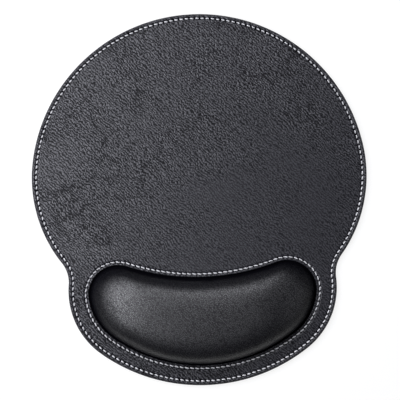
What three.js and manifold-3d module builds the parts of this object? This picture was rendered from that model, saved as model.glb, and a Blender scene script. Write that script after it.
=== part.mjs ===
// Mouse pad with a kidney-shaped wrist cushion, covered in leather and sewn with two seams.
//
// Frame: millimetres, +X to the right, +Y away from the user, +Z up. The origin is the middle of
// the pad's bounding box, on the surface that the pad lies on.
//
// The flat part is a stack of three sheets: a non-slip base, a foam sheet and a leather skin. A
// seam ties them together round the edge, and the cut edge is painted. The wrist cushion is a
// foam core under a formed leather cover. The core stands on the foam sheet. The cover rises
// through an opening in the skin, its flange lies under the skin in a channel of the foam sheet,
// and a second seam ties it there.
// Each seam has a needle thread above and a bobbin thread below, in grooves that the tight
// thread has pressed into the sheets.

import * as THREE from "three";
import { mergeVertices } from "three/addons/utils/BufferGeometryUtils.js";
import Module from "manifold-3d";

const wasm = await Module();
wasm.setup();

// Plan of the pad: its right half is a chain of tangent arcs, named from the back to the front.
// Each direction is the outline's outward normal where that arc ends and the next begins, in
// degrees. The front arc's radius follows from them.
const padRadius = 113;
const shoulderRadius = 92;
const neckRadius = 21;
const lobeRadius = 52;
const backEndDirection = 10;
const shoulderEndDirection = -37;
const neckEndDirection = 6;
const lobeEndDirection = -53.2;

// Thickness of each layer, from the bottom up
const baseThickness = 1.2;
const foamThickness = 2;
const skinThickness = 1.4;
const coverThickness = 0.8;

// Edges: the paint on the cut edge, and the rounded edges of the skin
const paintThickness = 0.5;
const paintChamfer = 0.5;
const paintLift = 0.2;
const skinEdgeRound = 0.9;
const openingChamfer = 0.4;

// Seams
const edgeSeamInset = 3;
const stitchLength = 3.5;
const stitchSlant = 0.15;
const needleThreadDiameter = 0.8;
const bobbinThreadDiameter = 0.5;
const grooveSideClearance = 0.3;
const grooveFloorClearance = 0.05;

// Plan of the cushion's seam: it keeps a band's width inside the pad's lobe and front, and its
// back is hollow. The insets are measured from the seam.
const cushionBand = 11.4;
const cushionBreadth = 63.6;
const cushionBackRadius = 150;
const cushionEndRadius = 22;
const openingInset = 2.2;
const footInset = 3;
const flangeWidth = 3;

// Rise of the cushion over its flange. From a low foot the wall goes up almost straight and
// rounds over to a level top, whose middle line is the spine. A lower lean makes a steeper wall
// under a flatter shoulder. Away from the centre line the wall turns over more and more softly,
// between the two distances given here.
const crownHeight = 18.8;
const footRise = 0.4;
const backFootWidth = 1.1;
const sideFootWidth = 1.4;
const frontFootWidth = 0.4;
const spineHalfLength = 34;
const backSquareness = 5;
const frontSquareness = 3.5;
const endSquareness = 2.6;
const softerFrom = 20;
const softestFrom = 75;
const backLean = 0.55;
const frontLean = 0.32;
const sideDropShare = 0.08;

// Clearance round a soft piece, and how far a cutting tool runs past the face that it cuts
const softClearance = 0.3;
const overrun = 1;

// Fineness of the facets
const facetLength = 8;
const facetTurn = 12;
const threadSides = 3;
const bobbinSides = 4;
const edgeRoundShares = [0, 0.5, 1];
const domeRingShares = [0, 0.05, 0.12, 0.22, 0.36, 0.52, 0.72];
const stitchRings = [
  { alongShare: 0, sinkShare: 1, slantShare: 0 },
  { alongShare: 0.16, sinkShare: 0, slantShare: 1 },
  { alongShare: 0.84, sinkShare: 0, slantShare: -1 },
];

// Heights of the layers' faces
const foamBottom = baseThickness;
const foamTop = foamBottom + foamThickness;
const skinTop = foamTop + skinThickness;
const channelFloor = foamTop - coverThickness;
const cushionTop = foamTop + crownHeight;

// Grooves: as wide as the thread and its slant need, and deep enough to sink the thread
const needleGrooveHalf = needleThreadDiameter / 2 + stitchSlant + grooveSideClearance;
const needleGrooveDepth = needleThreadDiameter + 2 * grooveFloorClearance;
const bobbinGrooveHalf = bobbinThreadDiameter / 2 + grooveSideClearance;
const bobbinGrooveDepth = bobbinThreadDiameter + 2 * grooveFloorClearance;

// The outlines start and end square to the centre line.
const straightBack = THREE.MathUtils.radToDeg(Math.PI / 2);
const straightFront = -straightBack;

// Arcs and outlines

function direction(degrees) {
  const angle = THREE.MathUtils.degToRad(degrees);
  return new THREE.Vector2(Math.cos(angle), Math.sin(angle));
}

function degreesOf(vector) {
  return THREE.MathUtils.radToDeg(Math.atan2(vector.y, vector.x));
}

// An arc runs between two directions of its outward normal, and a negative radius makes it
// hollow. The next arc's centre lies on the normal where the two meet.
function nextArc(arc, radius, to) {
  const centre = arc.centre.clone();
  centre.addScaledVector(direction(arc.to), arc.radius - radius);
  return { centre, radius, from: arc.to, to };
}

function padArcs(centreY) {
  const centre = new THREE.Vector2(0, centreY);
  const back = { centre, radius: padRadius, from: straightBack, to: backEndDirection };
  const shoulder = nextArc(back, shoulderRadius, shoulderEndDirection);
  const neck = nextArc(shoulder, -neckRadius, neckEndDirection);
  const lobe = nextArc(neck, lobeRadius, lobeEndDirection);
  // This radius brings the front arc's centre onto the centre line.
  const frontRadius = lobeRadius + lobe.centre.x / direction(lobeEndDirection).x;
  const front = nextArc(lobe, frontRadius, straightFront);
  return [back, shoulder, neck, lobe, front];
}

// The right-hand one of the two points where two circles cross
function crossing(centreA, radiusA, centreB, radiusB) {
  const between = centreB.clone().sub(centreA);
  const distance = between.length();
  const along = (distance ** 2 + radiusA ** 2 - radiusB ** 2) / (2 * distance);
  const aside = Math.sqrt(radiusA ** 2 - along ** 2);
  const unit = between.normalize();
  const foot = centreA.clone().addScaledVector(unit, along);
  const across = new THREE.Vector2(-unit.y, unit.x);
  const one = foot.clone().addScaledVector(across, aside);
  const other = foot.clone().addScaledVector(across, -aside);
  return one.x > other.x ? one : other;
}

// The seam's side and front run parallel to the pad's lobe and front. A tighter arc turns each
// end in to the hollow back.
function cushionArcs(pad) {
  const [lobe, front] = pad.slice(-2);
  const side = { ...lobe, radius: lobeRadius - cushionBand };
  const toe = { ...front, radius: front.radius - cushionBand };
  const backCentreY = toe.centre.y - toe.radius + cushionBreadth + cushionBackRadius;
  const backCentre = new THREE.Vector2(0, backCentreY);
  const endCentre = crossing(
    backCentre,
    cushionBackRadius + cushionEndRadius,
    side.centre,
    side.radius - cushionEndRadius,
  );
  const endFrom = degreesOf(backCentre.clone().sub(endCentre));
  side.from = degreesOf(endCentre.clone().sub(side.centre));
  return [
    { centre: backCentre, radius: -cushionBackRadius, from: straightBack, to: endFrom },
    { centre: endCentre, radius: cushionEndRadius, from: endFrom, to: side.from },
    side,
    toe,
  ];
}

function arcTurn(arc) {
  return THREE.MathUtils.degToRad(Math.abs(arc.to - arc.from));
}

// A point of the outline's right half, and its outward normal, at a share of one of its arcs
function arcPoint(arc, share, inset) {
  const normal = direction(THREE.MathUtils.lerp(arc.from, arc.to, share));
  const point = arc.centre.clone().addScaledVector(normal, arc.radius - inset);
  return { point, normal };
}

function mirrored({ point, normal }) {
  return {
    point: new THREE.Vector2(-point.x, point.y),
    normal: new THREE.Vector2(-normal.x, normal.y),
  };
}

// The whole outline, counter-clockwise from the middle of its back, with the outward normals
function outline(arcs, inset) {
  const right = [];
  for (const arc of arcs) {
    const length = Math.abs(arc.radius) * arcTurn(arc);
    const turn = Math.abs(arc.to - arc.from);
    const steps = Math.ceil(Math.max(length / facetLength, turn / facetTurn));
    for (let i = 0; i < steps; i += 1) right.push(arcPoint(arc, i / steps, inset));
  }
  const back = right.shift();
  const front = arcPoint(arcs.at(-1), 1, inset);
  return [back, ...right.map(mirrored), front, ...right.reverse()];
}

function outlinePoints(arcs, inset) {
  return outline(arcs, inset).map(({ point }) => point);
}

function outlineLoop(arcs, inset, z) {
  return outlinePoints(arcs, inset).map((point) => new THREE.Vector3(point.x, point.y, z));
}

function halfLength(arcs, inset) {
  let length = 0;
  for (const arc of arcs) length += Math.abs(arc.radius - inset) * arcTurn(arc);
  return length;
}

// The point at a distance along the outline, from the middle of its back round the right side
function pointAlong(arcs, inset, distance) {
  const half = halfLength(arcs, inset);
  if (distance > half) return mirrored(pointAlong(arcs, inset, 2 * half - distance));
  let rest = distance;
  for (const arc of arcs) {
    const length = Math.abs(arc.radius - inset) * arcTurn(arc);
    if (rest <= length) return arcPoint(arc, rest / length, inset);
    rest -= length;
  }
  return arcPoint(arcs.at(-1), 1, inset);
}

// Solids

// A sheet between two heights, with the outline's facets
function sheet(points, bottom, top) {
  const shape = new THREE.Shape(points);
  const options = { depth: top - bottom, bevelEnabled: false };
  return new THREE.ExtrudeGeometry(shape, options).translate(0, 0, bottom);
}

// A solid whose skin joins each loop of points to the next. The first and the last loop are
// filled in, or joined to each other when the loops go round in a ring.
function loft(loops, isRing = false) {
  const around = loops[0].length;
  const positions = loops.flat().flatMap((point) => point.toArray());
  const indices = [];
  const bands = isRing ? loops.length : loops.length - 1;
  for (let band = 0; band < bands; band += 1) {
    const lower = band * around;
    const upper = ((band + 1) % loops.length) * around;
    for (let i = 0; i < around; i += 1) {
      const next = (i + 1) % around;
      indices.push(lower + i, lower + next, upper + next);
      indices.push(lower + i, upper + next, upper + i);
    }
  }
  if (!isRing) {
    const last = (loops.length - 1) * around;
    for (const [a, b, c] of THREE.ShapeUtils.triangulateShape(loops[0], [])) {
      indices.push(a, c, b);
    }
    for (const [a, b, c] of THREE.ShapeUtils.triangulateShape(loops.at(-1), [])) {
      indices.push(last + a, last + b, last + c);
    }
  }
  const geometry = new THREE.BufferGeometry();
  geometry.setAttribute("position", new THREE.Float32BufferAttribute(positions, 3));
  geometry.setIndex(indices);
  return geometry;
}

// A ring that follows an outline, with a cross-section of [inset, height] corners
function outlineRing(arcs, corners) {
  return loft(
    corners.map(([inset, z]) => outlineLoop(arcs, inset, z)),
    true,
  );
}

// The tool that cuts a groove, centred on a seam's inset
function grooveTool(arcs, inset, halfWidth, bottom, top) {
  return outlineRing(arcs, [
    [inset - halfWidth, bottom],
    [inset - halfWidth, top],
    [inset + halfWidth, top],
    [inset + halfWidth, bottom],
  ]);
}

function toManifold(geometry) {
  const bare = new THREE.BufferGeometry();
  bare.setAttribute("position", geometry.getAttribute("position"));
  bare.setIndex(geometry.index);
  const merged = mergeVertices(bare);
  const solid = new wasm.Manifold(
    new wasm.Mesh({
      numProp: 3,
      vertProperties: merged.getAttribute("position").array,
      triVerts: new Uint32Array(merged.index.array),
    }),
  );
  return solid;
}

function cut(geometry, tools) {
  let solid = toManifold(geometry);
  for (const tool of tools) solid = solid.subtract(toManifold(tool));
  const { vertProperties, triVerts } = solid.getMesh();
  const result = new THREE.BufferGeometry();
  result.setAttribute("position", new THREE.BufferAttribute(vertProperties, 3));
  result.setIndex(new THREE.BufferAttribute(triVerts, 1));
  return result;
}

// The pad's sheets

const frontArc = padArcs(0).at(-1);
const padCentreY = (frontArc.radius - frontArc.centre.y - padRadius) / 2;
const pad = padArcs(padCentreY);
const cushion = cushionArcs(pad);
const backCentre = cushion[0].centre;
const halfWidth = Math.max(...outlinePoints(cushion, 0).map((point) => point.x));

// The cushion's spine, and the inset where its foam core starts
const spineRadius = cushionBackRadius + cushionBreadth / 2;
const spineEnd = Math.asin(spineHalfLength / spineRadius);
const coreInset = footInset + coverThickness + softClearance;

function baseSheet() {
  return cut(sheet(outlinePoints(pad, paintThickness), 0, foamBottom), [
    grooveTool(pad, edgeSeamInset, bobbinGrooveHalf, -overrun, bobbinGrooveDepth),
  ]);
}

// The channel for the cover's flange and foot runs round the place where the core stands.
function foamSheet() {
  const channelEdge = -(flangeWidth + softClearance);
  const channelTop = foamTop + overrun;
  const channel = loft(
    [
      outlineLoop(cushion, channelEdge, channelFloor),
      outlineLoop(cushion, channelEdge, channelTop),
      wallFootLoop(coreInset, channelTop),
      wallFootLoop(coreInset, channelFloor),
    ],
    true,
  );
  const grooveFloor = channelFloor - bobbinGrooveDepth;
  return cut(sheet(outlinePoints(pad, paintThickness), foamBottom, foamTop), [
    channel,
    grooveTool(cushion, 0, bobbinGrooveHalf, grooveFloor, channelTop),
  ]);
}

// The skin's upper edge rolls over to the cut edge, and its opening for the cushion is eased.
function topSkin() {
  const loops = [outlineLoop(pad, paintThickness, foamTop)];
  for (const share of edgeRoundShares) {
    const turn = (share * Math.PI) / 2;
    const inset = paintThickness + skinEdgeRound * (1 - Math.cos(turn));
    const z = skinTop - skinEdgeRound * (1 - Math.sin(turn));
    loops.push(outlineLoop(pad, inset, z));
  }
  const easedInset = openingInset - openingChamfer;
  const opening = loft([
    outlineLoop(cushion, openingInset, foamTop - overrun),
    outlineLoop(cushion, openingInset, skinTop - openingChamfer),
    outlineLoop(cushion, easedInset, skinTop),
    outlineLoop(cushion, easedInset, skinTop + overrun),
  ]);
  const grooveFloor = skinTop - needleGrooveDepth;
  return cut(loft(loops), [
    opening,
    grooveTool(pad, edgeSeamInset, needleGrooveHalf, grooveFloor, skinTop + overrun),
    grooveTool(cushion, 0, needleGrooveHalf, grooveFloor, skinTop + overrun),
  ]);
}

// The paint covers the cut edges of the three sheets, up to where the skin's edge rolls over.
function edgePaint() {
  const top = skinTop - skinEdgeRound;
  return outlineRing(pad, [
    [paintThickness, paintLift],
    [0, paintLift + paintChamfer],
    [0, top - paintChamfer],
    [paintThickness, top],
  ]);
}

// The cushion

// The foot is narrow at the back, wider at the sides and widest in front.
function footWidth(normal) {
  const target = normal.y > 0 ? backFootWidth : frontFootWidth;
  return THREE.MathUtils.lerp(sideFootWidth, target, normal.y ** 2);
}

// The foot of the wall beside a place on the outline
function wallFoot({ point, normal }) {
  return point.clone().addScaledVector(normal, -footWidth(normal));
}

// The curve at the foot of the wall, for a shell whose foot starts at an inset from the seam
function wallFootLoop(inset, z) {
  return outline(cushion, inset).map((place) => {
    const foot = wallFoot(place);
    return new THREE.Vector3(foot.x, foot.y, z);
  });
}

// The spine is an arc round the centre of the hollow back. This is the point of it that the
// wall climbs to from its foot: about the nearest one, but never past the spine's two ends.
function spinePoint(foot) {
  const reach = foot.clone().sub(backCentre);
  const angle = spineEnd * Math.tanh(Math.atan2(reach.x, -reach.y) / spineEnd);
  return new THREE.Vector2(Math.sin(angle), -Math.cos(angle))
    .multiplyScalar(spineRadius)
    .add(backCentre);
}

// The share of its full height that the wall reaches at a share of the way to the spine
function domeRise(share, foot, normal) {
  const frontness = Math.min(normal.y, 0) ** 2;
  const softness = THREE.MathUtils.smoothstep(Math.abs(foot.x), softerFrom, softestFrom);
  const middleSquareness = THREE.MathUtils.lerp(backSquareness, frontSquareness, frontness);
  const squareness = THREE.MathUtils.lerp(middleSquareness, endSquareness, softness);
  const lean = THREE.MathUtils.lerp(backLean, frontLean, frontness);
  return (1 - (1 - share) ** squareness) ** lean;
}

// The crown falls a little towards the sides.
function crownDrop(x) {
  return crownHeight * sideDropShare * (x / halfWidth) ** 2;
}

// The loops of a dome from the foot of its wall up to its top
function domeLoops(inset, wallBottom, top) {
  return domeRingShares.map((share) =>
    outline(cushion, inset).map((place) => {
      const foot = wallFoot(place);
      const { x, y } = foot.clone().lerp(spinePoint(foot), share);
      const rise = (top - crownDrop(x) - wallBottom) * domeRise(share, foot, place.normal);
      return new THREE.Vector3(x, y, wallBottom + rise);
    }),
  );
}

// A shell of even thickness, open below, with a low foot round its wall and a flange round that
function cushionCover() {
  const insideInset = footInset + coverThickness;
  const outside = domeLoops(footInset, foamTop + footRise, cushionTop);
  const inside = domeLoops(insideInset, channelFloor + footRise, cushionTop - coverThickness);
  return loft([
    ...inside.reverse(),
    outlineLoop(cushion, insideInset, channelFloor),
    outlineLoop(cushion, -flangeWidth, channelFloor),
    outlineLoop(cushion, -flangeWidth, foamTop),
    outlineLoop(cushion, footInset, foamTop),
    ...outside,
  ]);
}

function cushionCore() {
  return loft(domeLoops(coreInset, foamTop, cushionTop - coverThickness - softClearance));
}

// The threads

function threadSection({ point, normal }, aside, z, radius, sides) {
  const section = [];
  for (let i = 0; i < sides; i += 1) {
    const turn = (i / sides) * 2 * Math.PI + Math.PI / 2;
    const out = aside + radius * Math.cos(turn);
    const place = point.clone().addScaledVector(normal, out);
    section.push(new THREE.Vector3(place.x, place.y, z + radius * Math.sin(turn)));
  }
  return section;
}

// One long thread: it lies on the skin along each stitch and dips into the groove between two.
function needleThread(arcs, inset) {
  const length = 2 * halfLength(arcs, inset);
  const stitches = Math.round(length / stitchLength);
  const radius = needleThreadDiameter / 2;
  const sink = needleGrooveDepth - radius - grooveFloorClearance;
  const sections = [];
  for (let i = 0; i < stitches; i += 1) {
    for (const { alongShare, sinkShare, slantShare } of stitchRings) {
      const place = pointAlong(arcs, inset, ((i + alongShare) / stitches) * length);
      const z = skinTop - sink * sinkShare;
      sections.push(threadSection(place, stitchSlant * slantShare, z, radius, threadSides));
    }
  }
  return loft(sections, true);
}

// The bobbin thread runs level in its groove.
function bobbinThread(arcs, inset, z) {
  const radius = bobbinThreadDiameter / 2;
  const places = outline(arcs, inset);
  return loft(
    places.map((place) => threadSection(place, 0, z, radius, bobbinSides)),
    true,
  );
}

// A closed surface has the volume of its cones over the origin, negative if its faces point in.
function signedVolume(geometry) {
  const position = geometry.getAttribute("position");
  const corners = [0, 1, 2].map(() => new THREE.Vector3());
  let sum = 0;
  for (let i = 0; i < geometry.index.count; i += 3) {
    corners.forEach((corner, k) => corner.fromBufferAttribute(position, geometry.index.getX(i + k)));
    sum += corners[0].dot(corners[1].clone().cross(corners[2]));
  }
  return sum / 6;
}

function facingOut(geometry) {
  if (signedVolume(geometry) > 0) return geometry;
  const { array } = geometry.index;
  for (let i = 0; i < array.length; i += 3) [array[i], array[i + 1]] = [array[i + 1], array[i]];
  return geometry;
}

// Materials

function material(color, roughness) {
  return new THREE.MeshStandardMaterial({ color, roughness, metalness: 0 });
}

const bobbinRest = bobbinThreadDiameter / 2 + grooveFloorClearance;

const parts = [
  ["base_sheet", baseSheet(), material(0x17181a, 0.85)],
  ["foam_sheet", foamSheet(), material(0x2a2a2c, 0.95)],
  ["top_skin", topSkin(), material(0x3f3f43, 0.6)],
  ["edge_paint", edgePaint(), material(0x1c1b20, 0.5)],
  ["cushion_core", cushionCore(), material(0xd9cfa8, 0.95)],
  ["cushion_cover", cushionCover(), material(0x2c2c2f, 0.45)],
  ["edge_needle_thread", needleThread(pad, edgeSeamInset), material(0xe4e3df, 0.7)],
  ["edge_bobbin_thread", bobbinThread(pad, edgeSeamInset, bobbinRest), material(0xe4e3df, 0.7)],
  ["cushion_needle_thread", needleThread(cushion, 0), material(0xe4e3df, 0.7)],
  [
    "cushion_bobbin_thread",
    bobbinThread(cushion, 0, channelFloor - bobbinRest),
    material(0xe4e3df, 0.7),
  ],
];

const mousePad = new THREE.Group();
for (const [name, geometry, finish] of parts) {
  const mesh = new THREE.Mesh(geometry.index ? facingOut(geometry) : geometry, finish);
  mesh.geometry.computeVertexNormals();
  mesh.name = name;
  mousePad.add(mesh);
}

export default mousePad;
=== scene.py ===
# %% [markdown]
# # A leather mouse pad with a padded wrist cushion
#
# The pad is a stack of three sheets under one outline: a rubber base, a thin foam and a leather
# skin. A kidney-shaped cushion rises through the skin. White thread runs round both. This lesson
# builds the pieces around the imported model, whose sizes and places it reads from the frame. All
# lengths are in metres, and MM turns millimetres into them.

# %% Load the frame
import math
from collections import namedtuple

import bmesh
import bpy
from mathutils import Color, Matrix, Vector, noise


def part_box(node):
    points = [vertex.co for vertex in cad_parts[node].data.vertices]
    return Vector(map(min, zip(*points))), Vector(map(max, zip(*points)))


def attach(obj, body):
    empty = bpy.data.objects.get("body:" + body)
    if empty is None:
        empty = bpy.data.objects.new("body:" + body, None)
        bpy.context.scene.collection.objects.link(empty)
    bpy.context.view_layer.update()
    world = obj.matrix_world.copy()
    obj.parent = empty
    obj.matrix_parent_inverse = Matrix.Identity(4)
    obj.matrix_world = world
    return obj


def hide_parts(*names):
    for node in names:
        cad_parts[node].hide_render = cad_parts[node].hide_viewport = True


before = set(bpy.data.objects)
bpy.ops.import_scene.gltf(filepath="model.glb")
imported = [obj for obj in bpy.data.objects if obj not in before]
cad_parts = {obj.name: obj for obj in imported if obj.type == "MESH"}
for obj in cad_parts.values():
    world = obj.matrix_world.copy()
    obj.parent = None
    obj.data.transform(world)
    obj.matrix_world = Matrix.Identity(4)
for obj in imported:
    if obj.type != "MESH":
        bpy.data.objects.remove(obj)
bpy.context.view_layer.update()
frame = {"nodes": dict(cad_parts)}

MM = 0.001
base_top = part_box("base_sheet")[1].z
foam_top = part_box("foam_sheet")[1].z
leather_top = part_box("top_skin")[1].z
paint_low, paint_high = (corner.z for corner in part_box("edge_paint"))
print("nodes of the packed model:", ", ".join(frame["nodes"]))

# %% [markdown]
# ## The camera
#
# The camera looks straight down, and the pad lies turned by almost two degrees. A short lens would
# spread the cushion's raised top outwards. A long lens from far away hardly does, and the pad's
# outline measures best that way. The distance follows from the real size of a pixel at the outline.

# %% Camera
IMAGE_SIZE = 400
PIXEL = 0.673 * MM
PAD_TURN = math.radians(1.765)
AIM = Vector((0.05, -0.22, 0)) * MM
LENS = 200
SENSOR = 36

camera_data = bpy.data.cameras.new("camera")
camera_data.lens = LENS
camera_data.sensor_width = SENSOR
camera = bpy.data.objects.new("camera", camera_data)
camera.location = AIM
camera.location.z = (paint_low + paint_high) / 2 + IMAGE_SIZE * PIXEL * LENS / SENSOR
camera.rotation_euler = (0, 0, -PAD_TURN)
bpy.context.scene.collection.objects.link(camera)
bpy.context.scene.camera = camera
print("camera height in m:", round(camera.location.z, 3))

# %% [markdown]
# ## One helper for nodes
#
# Every material here is a small graph. One function adds a node, sets its properties, sets or links
# its inputs, and gives back the output that the next node takes. Colours are written as hex values,
# as a painter's chart gives them, and turned into the linear values that Blender works with.

# %% Node and colour helpers
WHITE = "ffffff"
SMOOTH = {"interpolation_type": "SMOOTHSTEP"}


def linear(colour):
    """A hex colour such as 2a2a2d as linear red, green, blue and alpha."""
    shares = [int(colour[i : i + 2], 16) / 255 for i in (0, 2, 4)]
    return (*Color(shares).from_srgb_to_scene_linear(), 1)


def add(tree, kind, inputs=(), output=0, **settings):
    """Adds a node with its settings and inputs, and gives back one of its outputs.

    The inputs are a list in the order of the sockets, or a dict by their names or numbers. Another
    node's output among them is linked, and anything else is set as a value.
    """
    node = tree.nodes.new("ShaderNode" + kind)
    for name, value in settings.items():
        setattr(node, name, value)
    for name, value in inputs.items() if isinstance(inputs, dict) else enumerate(inputs):
        if isinstance(value, bpy.types.NodeSocket):
            tree.links.new(value, node.inputs[name])
        else:
            node.inputs[name].default_value = value
    return node.outputs[output] if node.outputs else None


def new_material(name):
    """A material without nodes, and its node tree."""
    material = bpy.data.materials.new(name)
    material.use_nodes = True
    material.node_tree.nodes.clear()
    return material, material.node_tree


# %% [markdown]
# ## Light
#
# A product table has big soft lamps. The main one hangs on the left and a wide one at the back: the
# leather is lighter on the left, and the cushion's back edge and left end shine. A weak lamp on the
# right and a dim world keep the shaded walls from going black. For the camera alone the world is as
# pale as the floor, so that the pad lies before paper from every side, and no light is added to it.

# %% Lights
LAMPS = {
    "left": {"place": (-0.285, 0.015, 0.42), "sides": (0.36, 0.36), "watts": 2.35},
    "back": {"place": (-0.08, 0.42, 0.5), "sides": (0.8, 0.35), "watts": 2.45},
    "right": {"place": (0.6, -0.05, 0.35), "sides": (0.4, 0.4), "watts": 0.4},
}
LAMP_COLOUR = "f7f8ff"
WORLD_LEVEL = 0.03
PAPER_GLOW = 0.86

for name, lamp in LAMPS.items():
    lamp_data = bpy.data.lights.new(name, "AREA")
    lamp_data.shape = "RECTANGLE"
    lamp_data.size, lamp_data.size_y = lamp["sides"]
    lamp_data.energy = lamp["watts"]
    lamp_data.color = linear(LAMP_COLOUR)[:3]
    lamp_object = bpy.data.objects.new(name, lamp_data)
    lamp_object.location = lamp["place"]
    lamp_object.rotation_euler = (-Vector(lamp["place"])).to_track_quat("-Z", "Y").to_euler()
    bpy.context.scene.collection.objects.link(lamp_object)


def pale_world():
    """A dim world that the camera sees as pale as paper."""
    world = bpy.data.worlds.new("studio")
    world.use_nodes = True
    tree = world.node_tree
    tree.nodes.clear()
    seen = add(tree, "LightPath", output="Is Camera Ray")
    level = add(
        tree, "Math", [seen, PAPER_GLOW - WORLD_LEVEL, WORLD_LEVEL], operation="MULTIPLY_ADD"
    )
    sky = add(tree, "Background", {"Color": linear(WHITE), "Strength": level})
    add(tree, "OutputWorld", {"Surface": sky})
    return world


bpy.context.scene.world = pale_world()
bpy.context.scene.view_settings.view_transform = "Standard"
print("lamps in watts:", {name: lamp["watts"] for name, lamp in LAMPS.items()})

# %% [markdown]
# ## The floor
#
# The floor is white paper. Paper that is lit until it looks pure white would throw too much light on
# the pad's flanks. So it is a mid grey that adds most of its white for the camera alone: it reads as
# white and still takes the shadow. Gloss shows the paper too, but only near the pad, as on a small
# table, because a white plain all round would veil the black leather.

# %% Floor
PAPER_COLOUR = "7c7c7c"
FLOOR_REACH = 12
GLOW_NEAR, GLOW_FAR = 0.2, 0.5


def white_paper():
    """Paper that looks white to the camera, and near the pad in gloss."""
    material, tree = new_material("white_paper")
    seen = add(tree, "LightPath", output="Is Camera Ray")
    in_gloss = add(tree, "LightPath", output="Is Glossy Ray")
    through_glass = add(tree, "LightPath", output="Is Transmission Ray")
    indirect = add(tree, "Math", [in_gloss, through_glass], operation="MAXIMUM")
    place = add(tree, "TexCoord", output="Object")
    distance = add(tree, "VectorMath", [place], output="Value", operation="LENGTH")
    fading = add(tree, "MapRange", [distance, GLOW_NEAR, GLOW_FAR, PAPER_GLOW, 0], **SMOOTH)
    faded = add(tree, "Math", [indirect, fading], operation="MULTIPLY")
    glow = add(tree, "Math", [seen, PAPER_GLOW, faded], operation="MULTIPLY_ADD")
    paper = add(tree, "BsdfDiffuse", {"Color": linear(PAPER_COLOUR)})
    shine = add(tree, "Emission", {"Color": linear(WHITE), "Strength": glow})
    add(tree, "OutputMaterial", {"Surface": add(tree, "AddShader", [paper, shine])})
    return material


bm = bmesh.new()
bmesh.ops.create_grid(bm, x_segments=1, y_segments=1, size=FLOOR_REACH)
floor_mesh = bpy.data.meshes.new("floor")
bm.to_mesh(floor_mesh)
bm.free()
floor_mesh.materials.append(white_paper())
floor = bpy.data.objects.new("floor", floor_mesh)
bpy.context.scene.collection.objects.link(floor)
print("floor in m:", tuple(round(side, 1) for side in floor.dimensions))

# %% [markdown]
# ## The outlines
#
# A pattern maker draws both outlines with compasses: each half is a chain of arcs that run into one
# another without a corner. An arc is kept as its centre, its radius and the directions, in degrees,
# of the outline's outward normal at its two ends. A hollow arc has a negative radius. Each further
# arc's centre then lies on the normal where the two arcs meet.

# %% Arcs of the pad and of the cushion's seam
Arc = namedtuple("Arc", "centre radius start end")

PAD_RADIUS = 113 * MM
SHOULDER_RADIUS = 92 * MM
NECK_RADIUS = 21 * MM
LOBE_RADIUS = 52 * MM
BACK_END, SHOULDER_END, NECK_END, LOBE_END = 10, -37, 6, -53.2
STRAIGHT_BACK, STRAIGHT_FRONT = 90, -90

CUSHION_BAND = 11.4 * MM
CUSHION_BREADTH = 63.6 * MM
CUSHION_BACK_RADIUS = 150 * MM
CUSHION_END_RADIUS = 22 * MM


def direction(degrees):
    """The level unit vector that points that way."""
    angle = math.radians(degrees)
    return Vector((math.cos(angle), math.sin(angle), 0))


def degrees_of(vector):
    """The direction of a level vector, in degrees."""
    return math.degrees(math.atan2(vector.y, vector.x))


def next_arc(arc, radius, end):
    """The arc that goes on from the end of another one without a corner."""
    centre = arc.centre + direction(arc.end) * (arc.radius - radius)
    return Arc(centre, radius, arc.end, end)


def pad_arcs(centre_y):
    """The right half of the pad's outline, from the back to the front."""
    back = Arc(Vector((0, centre_y, 0)), PAD_RADIUS, STRAIGHT_BACK, BACK_END)
    shoulder = next_arc(back, SHOULDER_RADIUS, SHOULDER_END)
    neck = next_arc(shoulder, -NECK_RADIUS, NECK_END)
    lobe = next_arc(neck, LOBE_RADIUS, LOBE_END)
    front_radius = LOBE_RADIUS + lobe.centre.x / direction(LOBE_END).x
    front = next_arc(lobe, front_radius, STRAIGHT_FRONT)
    return [back, shoulder, neck, lobe, front]


def centred_pad_arcs():
    """The same outline, moved so that back and front lie equally far from the origin."""
    front = pad_arcs(0)[-1]
    return pad_arcs((front.radius - front.centre.y - PAD_RADIUS) / 2)


def crossing(centre_a, radius_a, centre_b, radius_b):
    """The right-hand one of the two points where two circles cross."""
    between = centre_b - centre_a
    distance = between.length
    along = (distance**2 + radius_a**2 - radius_b**2) / (2 * distance)
    aside = math.sqrt(radius_a**2 - along**2)
    unit = between.normalized()
    across = Vector((-unit.y, unit.x, 0))
    foot = centre_a + unit * along
    return max(foot + across * aside, foot - across * aside, key=lambda point: point.x)


def cushion_arcs(pad):
    """The right half of the cushion's seam: a hollow back, a tight end, a side and a front."""
    lobe, front = pad[-2:]
    side_radius = lobe.radius - CUSHION_BAND
    toe_radius = front.radius - CUSHION_BAND
    toe_y = front.centre.y - toe_radius
    back_centre = Vector((0, toe_y + CUSHION_BREADTH + CUSHION_BACK_RADIUS, 0))
    end_centre = crossing(
        back_centre,
        CUSHION_BACK_RADIUS + CUSHION_END_RADIUS,
        lobe.centre,
        side_radius - CUSHION_END_RADIUS,
    )
    back_end = degrees_of(back_centre - end_centre)
    side_start = degrees_of(end_centre - lobe.centre)
    return [
        Arc(back_centre, -CUSHION_BACK_RADIUS, STRAIGHT_BACK, back_end),
        Arc(end_centre, CUSHION_END_RADIUS, back_end, side_start),
        Arc(lobe.centre, side_radius, side_start, lobe.end),
        Arc(front.centre, toe_radius, front.start, front.end),
    ]


pad = centred_pad_arcs()
cushion = cushion_arcs(pad)
print("front radius in mm:", round(pad[-1].radius / MM, 2))
print("back of the pad in mm:", round((pad[0].centre.y + PAD_RADIUS) / MM, 2))

# %% [markdown]
# ## Along an outline
#
# A seam is sewn stitch by stitch, so the first question is where the point lies that is so many
# millimetres along it. The second is the other way round: at a given vertex of the outline, which way
# is outwards, and how far along the seam is it? Everything is mirrored, so a place on the left asks
# for its twin on the right.

# %% Along an outline
Station = namedtuple("Station", "place normal along")


def clamped(share):
    """A share, held between 0 and 1."""
    return min(max(share, 0), 1)


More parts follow.
